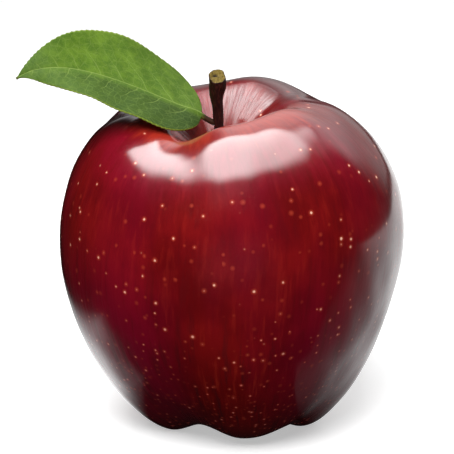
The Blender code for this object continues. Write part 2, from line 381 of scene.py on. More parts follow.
@dataclass
class Surface:
    """A closed surface on a grid: its rows are rings, and it closes to a point before and after them."""

    name: str
    rings: Array
    first: Array
    last: Array
    marks: dict[str, Array] = field(default_factory=dict)

    def faces(self) -> list[tuple[int, ...]]:
        """Four-sided faces between neighbouring rings, and a fan of triangles at each end."""
        rows, columns = self.rings.shape[:2]
        index = np.arange(rows * columns).reshape(rows, columns)
        near, far = index[:-1], index[1:]
        quads = np.stack([near, far, np.roll(far, -1, 1), np.roll(near, -1, 1)], -1).reshape(-1, 4)
        start, end = rows * columns, rows * columns + 1
        ends = []
        for ring, tip, flip in ((index[0], start, False), (index[-1], end, True)):
            pair = (np.roll(ring, -1), ring) if flip else (ring, np.roll(ring, -1))
            ends.append(np.stack([pair[0], pair[1], np.full(columns, tip)], -1))
        return quads.tolist() + ends[0].tolist() + ends[1].tolist()

    def build(self) -> bpy.types.Object:
        """Puts the grid into a mesh and links its object.

        Returns:
            The object, at the origin.
        """
        points = np.concatenate([self.rings.reshape(-1, 3), self.first[None], self.last[None]])
        mesh = bpy.data.meshes.new(self.name)
        mesh.from_pydata(points.tolist(), [], self.faces())
        for name, values in self.marks.items():
            self._keep(mesh, name, values)
        mesh.shade_smooth()
        mesh.update()
        thing = bpy.data.objects.new(self.name, mesh)
        bpy.context.scene.collection.objects.link(thing)
        return thing

    @staticmethod
    def _keep(mesh: bpy.types.Mesh, name: str, values: Array) -> None:
        """Keeps a number or a vector for each point of the mesh.

        Args:
            mesh: the mesh.
            name: what the values are called.
            values: one number or vector for each ring point, then for the two end points.
        """
        kind, key = ("FLOAT_VECTOR", "vector") if values.ndim == 2 else ("FLOAT", "value")
        attribute = mesh.attributes.new(name, kind, "POINT")
        attribute.data.foreach_set(key, values.astype(np.float32).ravel())


def with_ends(values: Array, first: Sequence[float], last: Sequence[float]) -> Array:
    """The values of a grid as one list, with those of the two end points after them."""
    flat = values.reshape(-1, values.shape[-1])
    return np.concatenate([flat, np.array([first]), np.array([last])])


# ---------------------------------------------------------------- fruit


@dataclass(frozen=True)
class WaxedSkin:
    """The fruit's finish: dark red skin with lengthwise streaks and pale breathing spots, under wax, with
    painted shade on the far crest and an underside that is partly the skin's own darker base and partly
    painted shade.

    A range says where something starts and where it is there in full. Most count the way down the skin: 0
    on the pit's floor, 1 at the crest, 2 at the waist, 3 at the foot and 4 at the eye. Those of sides run
    from the left or the front at -1 to the right or the back at 1.
    """

    deep: Colour = (0.098, 0.0022, 0.0030)
    bright: Colour = (0.165, 0.0042, 0.0046)
    crimson: Colour = (0.185, 0.0020, 0.0175)
    ember: Colour = (0.36, 0.026, 0.012)
    # Dark red of the streaks, also used as painted shade on the far crest and the foot.
    dark_streak_and_shade: Colour = (0.058, 0.0060, 0.0078)
    # Near black underneath: partly the skin's darker base, partly painted shade.
    underside_dark_and_shade: Colour = (0.016, 0.0030, 0.0040)
    hollow: Colour = (0.30, 0.16, 0.035)
    russet: Colour = (0.19, 0.085, 0.028)
    spot: Colour = (0.85, 0.50, 0.36)
    low_spot: Colour = (0.80, 0.11, 0.10)
    halo: Colour = (0.42, 0.045, 0.022)

    streaks: Stretch = (19.0, 19.0, 4.2)
    hairs: Stretch = (52.0, 52.0, 6.0)
    patches: Stretch = (2.2, 2.2, 0.9)
    eye_rays: Stretch = (9.0, 9.0, 2.0)

    pit_floor: Range = (0.52, 0.24)
    pit_deep: Range = (0.75, 0.35)
    pit_wall: Range = (0.93, 0.78)
    pit_mouth: Range = (1.10, 0.93)
    far_crest_shade: tuple[Range, Range] = ((0.85, 0.98), (1.45, 1.10))
    near_crest: Range = (1.28, 0.98)
    shoulder: tuple[Range, Range] = ((1.16, 1.30), (1.66, 1.42))
    lower_half: Range = (1.9, 2.6)
    flank: tuple[Range, Range] = ((1.9, 2.3), (2.95, 2.6))
    foot: Range = (2.35, 2.95)
    knuckle_dark_and_shade: Range = (2.70, 3.05)
    eye: Range = (3.45, 3.95)

    back_half: Range = (-0.45, 0.0)
    behind: Range = (0.1, 0.6)
    in_front: Range = (0.1, -0.6)
    well_in_front: Range = (-0.1, -0.6)
    both_sides: Range = (0.15, 0.60)
    pit_right: Range = (-0.25, 0.15)

    roughness: float = 0.35
    streaky_roughness: float = 0.10
    wax: float = 1.0
    wax_roughness: float = 0.135
    wax_index: float = 1.5
    bare_shine: float = 0.04
    dull_rim: float = 0.88
    glazed_wall: float = 0.76
    glaze_streaks: float = 0.46
    dimple_depth: float = 0.00014
    pore_depth: float = 0.000022

    spot_cell: float = 2.1
    spot_size: float = 0.30
    small_cell: float = 0.72
    small_size: float = 0.8

    def material(self) -> bpy.types.Material:
        """Builds the finish.

        Returns:
            The material.
        """
        recipe = Recipe("waxed_skin")
        place = recipe.place()
        line = recipe.attribute("skin_line", "Vector")
        side, back, down = recipe.parts(line)
        streak = recipe.noise(recipe.stretch(line, self.streaks), 1.0, detail=4.0, roughness=0.62)
        hair = recipe.noise(recipe.stretch(line, self.hairs), 1.0, detail=3.0, roughness=0.6)

        colour = self._ground(recipe, place, line, streak)
        colour = self._zones(recipe, line, streak, colour)
        colour = self._ends(recipe, place, line, colour)
        colour = self._spots(recipe, place, down, colour, self.spot_cell, self.spot_size, 0.0)
        small = (self.spot_cell * self.small_cell, self.spot_size * self.small_size)
        colour = self._spots(recipe, place, down, colour, *small, 1.0)

        pit = recipe.rise(down, *self.pit_mouth) * recipe.rise(back, *self.back_half)
        open_side = 0.45 + recipe.rise(side, *self.pit_right) * 0.55
        glaze = self.glazed_wall - recipe.rise(hair, 0.40, 0.62) * self.glaze_streaks
        dull = pit * (self.dull_rim - recipe.rise(down, *self.pit_wall) * open_side * glaze)

        pores = recipe.noise(place, 1.6, detail=3.0, roughness=0.55)
        dimples = recipe.noise(place, 0.32)
        normal = recipe.relief(dimples * 0.6 + streak * 0.8, self.dimple_depth)
        normal = recipe.relief(pores * 0.5 + hair, self.pore_depth, normal)
        return recipe.finish(
            Base_Color=colour,
            Roughness=self.roughness + (streak - 0.5) * self.streaky_roughness,
            Coat_Weight=self.wax - dull,
            Coat_Roughness=self.wax_roughness,
            Coat_IOR=self.wax_index,
            Specular_IOR_Level=self.bare_shine,
            Normal=normal,
        )

    def _ground(self, recipe: Recipe, place: Signal, line: Signal, streak: Signal) -> Signal:
        """Mixes the red ground: cloudy and patchy all over, with streaks that show most on the lower half.

        Args:
            recipe: the material.
            place: the place in millimetres.
            line: the sides and the way down the skin.
            streak: the noise of the streaks.

        Returns:
            The ground.
        """
        _, _, down = recipe.parts(line)
        cloud = recipe.noise(place, 0.055, detail=3.0, roughness=0.55)
        patch = recipe.noise(recipe.stretch(line, self.patches), 1.0)
        low = recipe.rise(down, *self.lower_half)
        colour = recipe.blend(recipe.rise(streak * 0.30 + cloud * 0.70, 0.38, 0.62), self.deep, self.bright)
        colour = recipe.blend(recipe.rise(patch, 0.42, 0.70) * 0.30, colour, self.crimson)
        bright = recipe.rise(streak, 0.54, 0.68) * (0.07 + low * 0.36)
        colour = recipe.blend(bright, colour, self.ember)
        dark = recipe.rise(streak, 0.47, 0.34) * (0.10 + low * 0.62)
        return recipe.blend(dark, colour, self.dark_streak_and_shade)

    def _zones(self, recipe: Recipe, line: Signal, streak: Signal, colour: Signal) -> Signal:
        """Colours the parts of the skin: crimson flanks, painted shade on the far crest, a darker foot that
        is partly the skin's own colour and partly painted shade, bright near crest.

        Args:
            recipe: the material.
            line: the sides and the way down the skin.
            streak: the noise of the streaks.
            colour: the ground.

        Returns:
            The skin with them.
        """
        side, back, down = recipe.parts(line)
        flank = recipe.rise(abs(side), *self.both_sides) * self._between(recipe, down, self.flank)
        colour = recipe.blend(flank * (0.35 + recipe.rise(streak, 0.30, 0.55) * 0.50), colour, self.crimson)
        # Painted shade: the crest behind the pit is darkened.
        far = recipe.rise(back, *self.behind) * self._between(recipe, down, self.far_crest_shade)
        colour = recipe.blend(far * 0.85, colour, self.dark_streak_and_shade)
        # The foot and the lobes underneath darken towards near black: partly the skin's darker base, partly
        # painted shade of the unlit underside.
        colour = recipe.blend(recipe.rise(down, *self.foot) * 0.75, colour, self.dark_streak_and_shade)
        colour = recipe.blend(recipe.rise(down, *self.knuckle_dark_and_shade) * 0.80, colour, self.underside_dark_and_shade)
        fringe = self._between(recipe, down, self.shoulder) * recipe.rise(back, *self.well_in_front)
        colour = recipe.blend(fringe * (0.15 + recipe.rise(streak, 0.35, 0.60) * 0.30), colour, self.crimson)
        frayed = down + (streak - 0.5) * 0.5
        near = recipe.rise(frayed, *self.near_crest) * recipe.rise(back, *self.in_front)
        return recipe.blend(near * 0.78, colour, self.ember)

    def _ends(self, recipe: Recipe, place: Signal, line: Signal, colour: Signal) -> Signal:
        """Colours both ends of the skin: the pit, russet at its floor, and the straw-coloured eye underneath.

        Args:
            recipe: the material.
            place: the place in millimetres.
            line: the sides and the way down the skin.
            colour: the skin without them.

        Returns:
            The skin with them.
        """
        _, _, down = recipe.parts(line)
        colour = recipe.blend(recipe.rise(down, *self.pit_deep) * 0.45, colour, self.ember)
        ragged = down + recipe.noise(place, 0.5, detail=4.0) * 0.4
        colour = recipe.blend(recipe.rise(ragged, *self.pit_floor) * 0.8, colour, self.russet)
        rays = down + recipe.noise(recipe.stretch(line, self.eye_rays), 1.0, detail=3.0) * 0.35
        return recipe.blend(recipe.rise(rays, *self.eye) * 0.85, colour, self.hollow)

    @staticmethod
    def _between(recipe: Recipe, down: Signal, bounds: tuple[Range, Range]) -> Signal:
        """1 between two places on the way down the skin and 0 outside, with a soft step at each."""
        first, last = bounds
        return recipe.rise(down, *first) * recipe.rise(down, *last)

    def _spots(
        self,
        recipe: Recipe,
        place: Signal,
        down: Signal,
        colour: Signal,
        cell: float,
        reach: float,
        low: float,
    ) -> Signal:
        """Lays the pale breathing spots on the skin: crowded underneath, few on the shoulders.

        A spot shows where the middle of a random cell is close to the skin, if the cell's own random number
        is under the share of cells that have one at that height.

        Args:
            recipe: the material.
            place: the place in millimetres.
            down: the way down the skin.
            colour: the skin without them.
            cell: width of a cell in millimetres.
            reach: usual radius of a spot in millimetres.
            low: 1 for small spots near the foot only, 0 for spots everywhere.

        Returns:
            The skin with them.
        """
        scale = 1.0 / cell
        distance = recipe.cells(place, scale) * cell
        chance, size, _ = recipe.parts(recipe.cells(place, scale, output="Color"))
        share = 0.18 + recipe.rise(down, 1.35, 1.9) * 0.18 + recipe.rise(down, 2.2, 2.8) * 0.40
        share = share * (1.0 - low) + recipe.rise(down, 2.05, 2.6) * 0.85 * low
        there = recipe.rise(chance - share, 0.01, -0.01)
        radius = reach * (0.70 + size * 0.6) * (1.15 - recipe.rise(down, 1.9, 3.0) * 0.25)
        halo = recipe.rise(distance / radius, 2.2, 0.5)
        core = recipe.rise(distance / radius, 1.0, 0.35)
        colour = recipe.blend(there * halo * 0.55, colour, self.halo)
        reddened = recipe.rise(down, 1.85, 2.45) * (1.05 - size * 0.4)
        pale = recipe.blend(reddened, self.spot, self.low_spot)
        return recipe.blend(there * core * (0.40 + size * 0.55), colour, pale)


@dataclass
class Fruit:
    """The fruit: one skin line from the stalk's pit to the eye underneath, turned round five lobes."""

    crest_height: float = 0.0753
    crest_radius: float = 0.0175
    waist_height: float = 0.0461
    waist_radius: float = 0.0385
    foot_radius: float = 0.0155
    foot_flat_depth: float = 0.0004
    pit_depth: float = 0.0157
    eye_height: float = 0.0086
    pit_shift: float = -0.0028
    crest_shift: float = -0.0028
    foot_shift: float = 0.0009
    flank_shift: float = 0.0010
    eye_shift: float = 0.0007
    crest_rise_right: float = 0.0015
    crest_rise_back: float = 0.0002
    waist_lean: float = 0.059
    pit_floor_fullness: float = 0.0020
    pit_lip_fullness: float = 0.0065
    shoulder_fullness: tuple[float, float] = (0.485, 0.578)
    flank_fullness: tuple[float, float] = (0.602, 0.236)
    hollow_fullness: tuple[float, float] = (0.40, 0.40)
    relief: tuple[tuple[float, float, float], ...] = (
        (5.5, 0.44, 0.39),
        (48.5, 0.84, 0.19),
        (78.0, 0.07, 0.61),
        (118.0, 1.30, 1.05),
        (157.0, 0.00, 0.00),
        (197.0, 1.00, 0.55),
        (226.0, 0.00, 0.00),
        (253.5, 0.65, 0.85),
        (289.0, 0.00, 0.00),
        (329.0, 1.10, 1.45),
    )
    crest_dip: float = 0.0028
    crest_spread: float = 0.00035
    flank_dip: float = 0.00054
    foot_lift: float = 0.0033
    foot_pull: float = 0.0022
    columns: int = 312
    rows: tuple[int, int, int, int] = (54, 84, 112, 50)
    undulation: float = 0.00011
    swells: tuple[Ripple, Ripple] = (Ripple(0.026, 1.0, 11), Ripple(0.011, 0.35, 12))
    swell_start: Range = (0.25, 0.9)
    swell_end: Range = (2.9, 3.5)
    finish: WaxedSkin = WaxedSkin()

    def relief_depth(self, azimuth: Array, which: int) -> Array:
        """Depth of the lobes' relief: half a cosine wave between each lobe and the furrow beside it.

        Args:
            azimuth: angles in radians.
            which: 1 for the depth at the foot, 2 for the depth at the crest.

        Returns:
            The depth at each angle, 0 on the highest lobes.
        """
        rows = np.array(self.relief)
        starts = np.append(rows[:, 0], rows[0, 0] + 360.0)
        depths = np.append(rows[:, which], rows[0, which])
        degrees = (np.degrees(azimuth) - starts[0]) % 360.0 + starts[0]
        index = np.clip(np.searchsorted(starts, degrees, side="right") - 1, 0, len(rows) - 1)
        share = (degrees - starts[index]) / (starts[index + 1] - starts[index])
        return depths[index] + (depths[index + 1] - depths[index]) * (1.0 - np.cos(math.pi * share)) / 2.0

    def curves(self, azimuth: Array) -> list[tuple[Array, Array, Array, Array]]:
        """Control points of the skin line at each azimuth, for the pit, shoulder, flank and hollow.

        A control point lies out from the axis by its radius, at its height, and a little to one side.

        Args:
            azimuth: angles in radians.

        Returns:
            Four curves of four control points, each an array of one point for every angle.
        """
        at_foot = self.relief_depth(azimuth, 1)
        at_crest = self.relief_depth(azimuth, 2)
        out = np.stack([np.sin(azimuth), -np.cos(azimuth)], -1)

        def place(radius: Array, height: Array, shift: Array) -> Array:
            """A control point for each angle."""
            wanted = (radius, height, shift)
            radius, height, shift = (np.broadcast_to(value, azimuth.shape) for value in wanted)
            return np.stack([out[:, 0] * radius + shift, out[:, 1] * radius, height], -1)

        crest_z = self.crest_height - self.crest_dip * at_crest
        crest_z = crest_z + self.crest_rise_right * out[:, 0] + self.crest_rise_back * out[:, 1]
        crest_r = self.crest_radius + self.crest_spread * at_crest
        waist_r = self.waist_radius - self.flank_dip * at_foot
        foot_z = self.foot_lift * at_foot - self.foot_flat_depth
        foot_r = self.foot_radius - self.foot_pull * at_foot
        pit_z = self.crest_height - self.pit_depth
        rise = self.shoulder_fullness[1] * (crest_z - self.waist_height)
        fall = self.flank_fullness[0] * (self.waist_height - foot_z)
        pit = place(0.0, pit_z, self.pit_shift)
        pit_floor = place(self.pit_floor_fullness, pit_z, self.pit_shift)
        pit_lip = place(crest_r - self.pit_lip_fullness, crest_z, self.crest_shift)
        crest = place(crest_r, crest_z, self.crest_shift)
        shoulder_r = crest_r + self.shoulder_fullness[0] * (waist_r - crest_r)
        shoulder = place(shoulder_r, crest_z, self.crest_shift * (1.0 - self.shoulder_fullness[0]))
        upper_flank = place(waist_r, self.waist_height + rise, self.waist_lean * rise)
        waist = place(waist_r, self.waist_height, 0.0)
        lower_flank = place(waist_r, self.waist_height - fall, -self.waist_lean * fall)
        knuckle_r = foot_r + self.flank_fullness[1] * (waist_r - foot_r)
        knuckle = place(knuckle_r, foot_z, self.foot_shift + self.flank_shift)
        foot = place(foot_r, foot_z, self.foot_shift)
        hollow_lip = place(foot_r * (1.0 - self.hollow_fullness[0]), foot_z, self.foot_shift)
        eye_edge = place(foot_r * self.hollow_fullness[1], self.eye_height, self.eye_shift)
        eye = place(0.0, self.eye_height, self.eye_shift)
        return [
            (pit, pit_floor, pit_lip, crest),
            (crest, shoulder, upper_flank, waist),
            (waist, lower_flank, knuckle, foot),
            (foot, hollow_lip, eye_edge, eye),
        ]

    def grid(self) -> tuple[Array, Array]:
        """The skin in rows from the pit's floor to the eye, with a faint unevenness, pressed flat underneath.

        The unevenness is a sum of random waves, and it fades to nothing at the pit's floor and at the eye.

        Returns:
            The points in rows and columns without the two end points, and the way down of each row.
        """
        azimuth = np.linspace(0.0, 2.0 * math.pi, self.columns, endpoint=False)
        bands, ways = [], []
        for number, (curve, rows) in enumerate(zip(self.curves(azimuth), self.rows)):
            share = np.linspace(0.0, 1.0, rows, endpoint=False)
            bands.append(cubic(*(point[None] for point in curve), share[:, None, None]))
            ways.append(number + share)
        points = np.concatenate(bands)[1:]
        down = np.concatenate(ways)[1:]
        fade = (step(down, *self.swell_start) * (1.0 - step(down, *self.swell_end)))[:, None]
        lift = sum(swell.at(points) for swell in self.swells) * self.undulation * fade
        points = points + lift[..., None] * outward(points)
        points[..., 2] = np.maximum(points[..., 2], 0.0)
        return points, down

    def build(self) -> tuple[bpy.types.Object, Vector]:
        """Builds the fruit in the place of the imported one.

        Returns:
            The object, and how far the fruit's axis is from the origin.
        """
        points, down = self.grid()
        low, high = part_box("fruit")
        middle = (points.min((0, 1)) + points.max((0, 1))) / 2.0
        offset = Vector(((low.x + high.x) / 2.0 - middle[0], (low.y + high.y) / 2.0 - middle[1], 0.0))
        azimuth = np.linspace(0.0, 2.0 * math.pi, self.columns, endpoint=False)
        line = np.stack(
            np.broadcast_arrays(np.sin(azimuth)[None], -np.cos(azimuth)[None], down[:, None]), -1
        )
        shift = np.array(offset)
        surface = Surface(
            "fruit_skin",
            points + shift,
            np.array((self.pit_shift, 0.0, self.crest_height - self.pit_depth)) + shift,
            np.array((self.eye_shift, 0.0, self.eye_height)) + shift,
            {"skin_line": with_ends(line, (0.0, 0.0, 0.0), (0.0, 0.0, 4.0))},
        )
        return surface.build(), offset

    def dress(self, skin: bpy.types.Object) -> None:
        """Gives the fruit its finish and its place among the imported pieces."""
        skin.data.materials.append(self.finish.material())
        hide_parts("fruit")
        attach(skin, "root")


# ---------------------------------------------------------------- stalk


@dataclass(frozen=True)
class StalkBark:
    """The stalk's finish: nearly black bark with a red tint, and a pale fibrous scar on its cut end."""

    bark: Colour = (0.012, 0.0030, 0.0028)
    ridge: Colour = (0.052, 0.013, 0.009)
    scar: Colour = (0.085, 0.055, 0.009)
    fibre: Colour = (0.21, 0.15, 0.034)
    hollow: Colour = (0.014, 0.008, 0.004)
    roughness: float = 0.48

    def material(self) -> bpy.types.Material:
        """Builds the finish.

        Returns:
            The material.
        """
        recipe = Recipe("stalk_bark")
        long = recipe.place((1.0, 1.0, 0.3))
        place = recipe.place()
        cut = recipe.attribute("cut")
        sunk = recipe.attribute("sunk")
        grain = recipe.noise(long, 2.6, 4.0, 0.65)
        speck = recipe.noise(place, 5.0, 3.0, 0.7)
        bark = recipe.blend(recipe.rise(grain, 0.45, 0.75), self.bark, self.ridge)
        scar = recipe.blend(recipe.rise(speck, 0.35, 0.65), self.scar, self.fibre)
        scar = recipe.blend(sunk, scar, self.hollow)
        colour = recipe.blend(recipe.rise(cut + (speck - 0.5) * 0.35, 0.35, 0.6), bark, scar)
        normal = recipe.relief(grain, 0.00012)
        normal = recipe.relief(speck, 0.00006, normal)
        return recipe.finish(
            Base_Color=colour,
            Roughness=self.roughness + cut * 0.35,
            Specular_IOR_Level=0.1,
            Normal=normal,
        )


@dataclass
class Stalk:
    """The stalk: a slim neck between a flared root on the pit's floor and a knob with an oblique cut end."""

    crest_height: float = Fruit.crest_height
    pit_depth: float = Fruit.pit_depth
    pit_shift: float = Fruit.pit_shift
    rise: float = 0.0053
    lean_left: float = 0.0008
    bow: float = 0.00030
    bow_height: float = 0.0740
    bow_length: float = 0.0036
    neck_radius: float = 0.00106
    root_radius: float = 0.0016
    knob_radius: float = 0.00192
    knob_length: float = 0.0050
    root_length: float = 0.0040
    cut_tilt: float = math.radians(31.0)
    bark_run: float = 0.28
    bark: tuple[Ripple, Ripple] = (Ripple(0.0021, 0.000055, 31), Ripple(0.0010, 0.000032, 32))
    lumps: Ripple = Ripple(0.0040, 0.00007, 33)
    fibres: tuple[Ripple, Ripple] = (Ripple(0.0008, 0.00005, 34), Ripple(0.0017, 0.00006, 35))
    lip_place: float = 0.93
    lip_width: float = 0.07
    lip_height: float = 0.00012
    dish_edge: Range = (0.55, 0.9)
    dish_depth: float = 0.00016
    hollow_place: tuple[float, float] = (-0.24, 0.30)
    hollow_size: tuple[float, float] = (0.30, 0.26)
    hollow_depth: float = 0.00045
    wood_edge: Range = (0.86, 0.97)
    columns: int = 96
    rows: int = 150
    cut_rows: int = 26
    finish: StalkBark = StalkBark()

    def centre(self, height: Array) -> Array:
        """Middle of the stalk at each height: it leans left as it rises, and bows a little under its end."""
        share = (height - self.crest_height + self.pit_depth) / (self.pit_depth + self.rise)
        bow = self.bow * bell(height, self.bow_height, self.bow_length)
        return np.stack([self.pit_shift - self.lean_left * (share - 0.5) - bow, 0.0 * height, height], -1)

    def radius(self, height: Array, bottom: float) -> Array:
        """Radius at each height: the neck's, and a bell of extra width at each end."""
        top = self.crest_height + self.rise
        root = (self.root_radius - self.neck_radius) * bell(height, bottom, self.root_length)
        knob = (self.knob_radius - self.neck_radius) * bell(height, top, self.knob_length)
        return self.neck_radius + root + knob

    def build(self, offset: Vector) -> bpy.types.Object:
        """Builds the stalk: rings that tilt more and more towards the cut, then the cut itself.

        Bark relief is a sum of waves drawn out along the stalk. The cut is dished inside a raised lip, with
        one hollow behind and to the left of its middle, and fibres that stand out from it.

        Args:
            offset: how far the fruit's axis is from the origin.

        Returns:
            The object.
        """
        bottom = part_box("stalk")[0].z
        top = self.crest_height + self.rise
        angle = np.linspace(0.0, 2.0 * math.pi, self.columns, endpoint=False)
        share = np.linspace(0.0, 1.0, self.rows)
        height = bottom + (top - bottom) * share
        ring = np.stack([np.cos(angle), np.sin(angle)], -1)
        radius = self.radius(height, bottom)[:, None]
        slope = np.tan(self.cut_tilt * share**3)[:, None]
        flat = radius[..., None] * ring[None]
        side = np.concatenate([flat, (flat[..., 1] * slope)[..., None]], -1) + self.centre(height)[:, None]
        drawn = side * np.array((1.0, 1.0, self.bark_run))
        relief = sum(layer.at(drawn) for layer in self.bark) + self.lumps.at(side)
        side = side + relief[..., None] * np.concatenate([ring, 0.0 * ring[:, :1]], -1)[None]

        inward = np.linspace(1.0, 0.0, self.cut_rows + 2)[1:-1]
        rim = side[-1]
        middle = rim.mean(0)
        cap = middle + (rim - middle)[None] * inward[:, None, None]
        facing = np.array((0.0, -math.sin(self.cut_tilt), math.cos(self.cut_tilt)))
        lip = bell(inward, self.lip_place, self.lip_width)[:, None] * self.lip_height
        dish = -(1.0 - step(inward, *self.dish_edge))[:, None] * self.dish_depth
        beside = (cap - middle)[..., :2] / self.knob_radius
        hollow = np.prod(bell(beside, np.array(self.hollow_place), np.array(self.hollow_size)), -1)
        fibre = sum(layer.at(cap) for layer in self.fibres)
        cap = cap + (lip + dish - self.hollow_depth * hollow + fibre)[..., None] * facing

        rings = np.concatenate([side, cap])[::-1] + np.array(offset)
        wood = (1.0 - step(inward, *self.wood_edge))[:, None] + 0.0 * hollow
        bare = np.zeros(side.shape[:2])
        cut = np.concatenate([bare, wood])[::-1]
        sunk = np.concatenate([bare, np.clip(hollow * 1.5 - 0.25, 0.0, 1.0)])[::-1]
        marks = {
            "cut": with_ends(cut[..., None], (1.0,), (0.0,))[:, 0],
            "sunk": with_ends(sunk[..., None], (float(sunk[0].mean()),), (0.0,))[:, 0],
        }
        return Surface("stalk_wood", rings, rings[0].mean(0), rings[-1].mean(0), marks).build()

    def dress(self, stalk: bpy.types.Object) -> None:
        """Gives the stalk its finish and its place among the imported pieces."""
        stalk.data.materials.append(self.finish.material())
        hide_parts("stalk")
        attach(stalk, "root")


# ---------------------------------------------------------------- leaf


LEAF_LENGTH = 0.0469


@dataclass(frozen=True)
class LeafGreen:
    """The leaf's finish: satin green, with a pale midrib, side veins and a fine network between them, and
    painted shade on its front half, its outer half and its root.
    """

    light: Colour = (0.100, 0.180, 0.014)
    dark: Colour = (0.052, 0.112, 0.007)
    # Painted shade colour, laid on the front half, the outer half and the root of the blade.
    shade: Colour = (0.008, 0.026, 0.002)
    under: Colour = (0.12, 0.19, 0.06)
    vein: Colour = (0.19, 0.27, 0.06)
    margin: Colour = (0.20, 0.26, 0.03)
    stem: Colour = (0.030, 0.014, 0.008)
    tip: Colour = (0.10, 0.075, 0.04)
    roughness: float = 0.56
    shine: float = 0.045
    blade_run: float = LEAF_LENGTH * MILLIMETRES
    pairs: float = 9.0
    angle: float = 0.52
    curl: float = 0.030
    wander: float = 1.6
    stagger: float = 0.43
    vein_half_width: Range = (0.20, 0.06)
    rib_half_width: Range = (0.17, 0.08)
    vein_end: Range = (0.72, 0.95)
    margin_start: Range = (0.965, 0.99)
    petiole: Range = (2.6, 1.2)
    dry_tip: Range = (46.0, 46.8)
    # Where the painted shade falls: the front half towards the root, the outer half and the root part.
    front_side: Range = (0.5, -2.5)
    front_fade: Range = (44.0, 22.0)
    outer_half: Range = (26.0, 44.0)
    root_part: Range = (16.0, 3.0)
    vein_depth: float = 0.00012
    grain_depth: float = 0.00004

    def material(self) -> bpy.types.Material:
        """Builds the finish.

        Returns:
            The material.
        """
        recipe = Recipe("leaf_green")
        blade = recipe.attribute("blade", "Vector")
        along, across, upper = recipe.parts(blade)
        edge = recipe.attribute("edge")
        spread = recipe.noise(blade, 0.22, 2.0)
        wide = abs(across)
        swept = along - wide * self.angle - wide * wide * self.curl + (spread - 0.5) * self.wander
        gap = self.blade_run / self.pairs
        staggered = swept + recipe.rise(across, -0.01, 0.01) * gap * self.stagger
        wave = recipe.math("PINGPONG", staggered, gap / 2.0)
        thinned = wave + edge * edge * 0.4
        vein = recipe.rise(thinned, *self.vein_half_width) * (1.0 - recipe.rise(edge, *self.vein_end))
        net = recipe.rise(recipe.cells(blade, 0.55, "DISTANCE_TO_EDGE"), 0.060, 0.015)
        fine = recipe.rise(recipe.cells(blade, 2.6, "DISTANCE_TO_EDGE"), 0.14, 0.02)
        rib = recipe.rise(wide, *self.rib_half_width)
        mottle = recipe.noise(blade, 0.35, detail=6.0, roughness=0.72)
        colour = recipe.blend(recipe.rise(mottle, 0.35, 0.68), self.dark, self.light)
        # Painted shade: the front half, the outer half and the root are darkened.
        shade = recipe.rise(across, *self.front_side) * 0.66 * recipe.rise(along, *self.front_fade)
        shade = shade + recipe.rise(along, *self.outer_half) * 0.46
        shade = shade + recipe.rise(along, *self.root_part) * 0.25
        colour = recipe.blend(shade, colour, self.shade)
        colour = recipe.blend(1.0 - upper, colour, self.under)
        colour = recipe.blend(fine * 0.12 + net * 0.17, colour, self.vein)
        colour = recipe.blend(vein * 0.38, colour, self.vein)
        colour = recipe.blend(rib * 0.75, colour, self.vein)
        colour = recipe.blend(recipe.rise(edge, *self.margin_start) * 0.6, colour, self.margin)
        colour = recipe.blend(recipe.rise(along, *self.petiole), colour, self.stem)
        colour = recipe.blend(recipe.rise(along, *self.dry_tip) * 0.7, colour, self.tip)
        ridge = 0.5 - 0.30 * vein - 0.12 * net - 0.05 * fine - 0.4 * rib
        normal = recipe.relief(ridge, self.vein_depth)
        normal = recipe.relief(mottle, self.grain_depth, normal)
        return recipe.finish(
            Base_Color=colour,
            Roughness=self.roughness + (mottle - 0.5) * 0.12,
            Specular_IOR_Level=self.shine,
            Normal=normal,
        )


